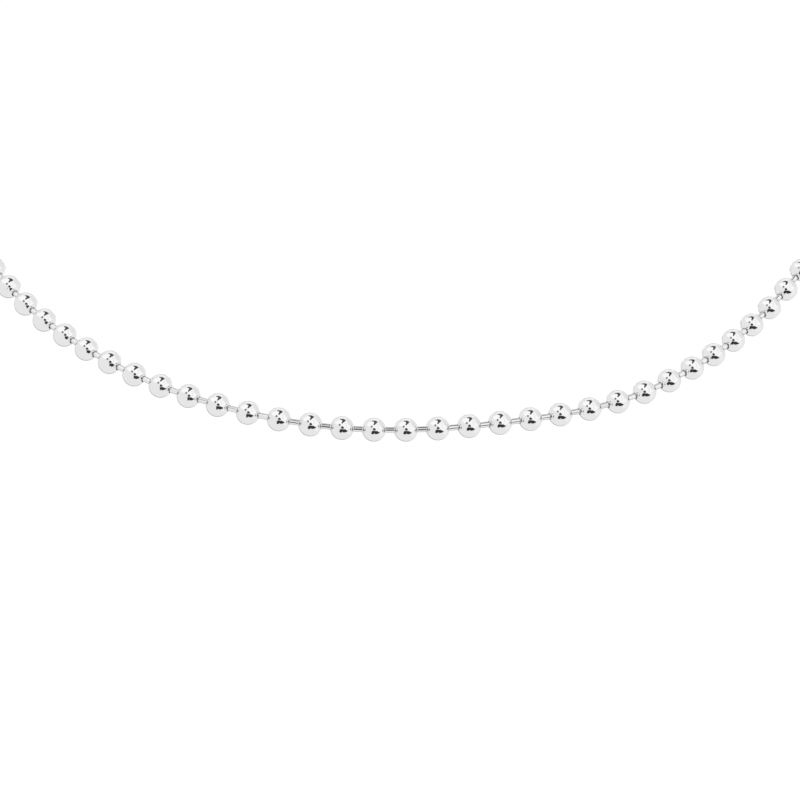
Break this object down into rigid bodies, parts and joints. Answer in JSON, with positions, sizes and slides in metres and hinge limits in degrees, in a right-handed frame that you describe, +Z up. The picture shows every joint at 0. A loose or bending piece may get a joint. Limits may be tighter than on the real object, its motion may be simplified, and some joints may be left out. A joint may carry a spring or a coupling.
{
  "type": "ball chain necklace",
  "caption": "Closed ball chain necklace: hollow drilled balls joined by headed pins, with a folded tube connector at the nape, in the form it has when worn.",
  "frame": {"origin": "the nape: the point on the connector's side that rests on the back of the neck", "axes": "+Z up as worn, -Y towards the front of the neck, +X to the right as seen from the front"},
  "size_m": [0.1358, 0.1352, 0.0786],
  "materials": {
    "polished_silver": "mirror polished silver",
    "pin_silver": "drawn and polished silver wire",
    "connector_silver": "polished silver sheet"
  },
  "bodies": {
    "root": {"beads": "polished_silver", "pins": "pin_silver", "connector": "connector_silver"}
  },
  "joints": []
}
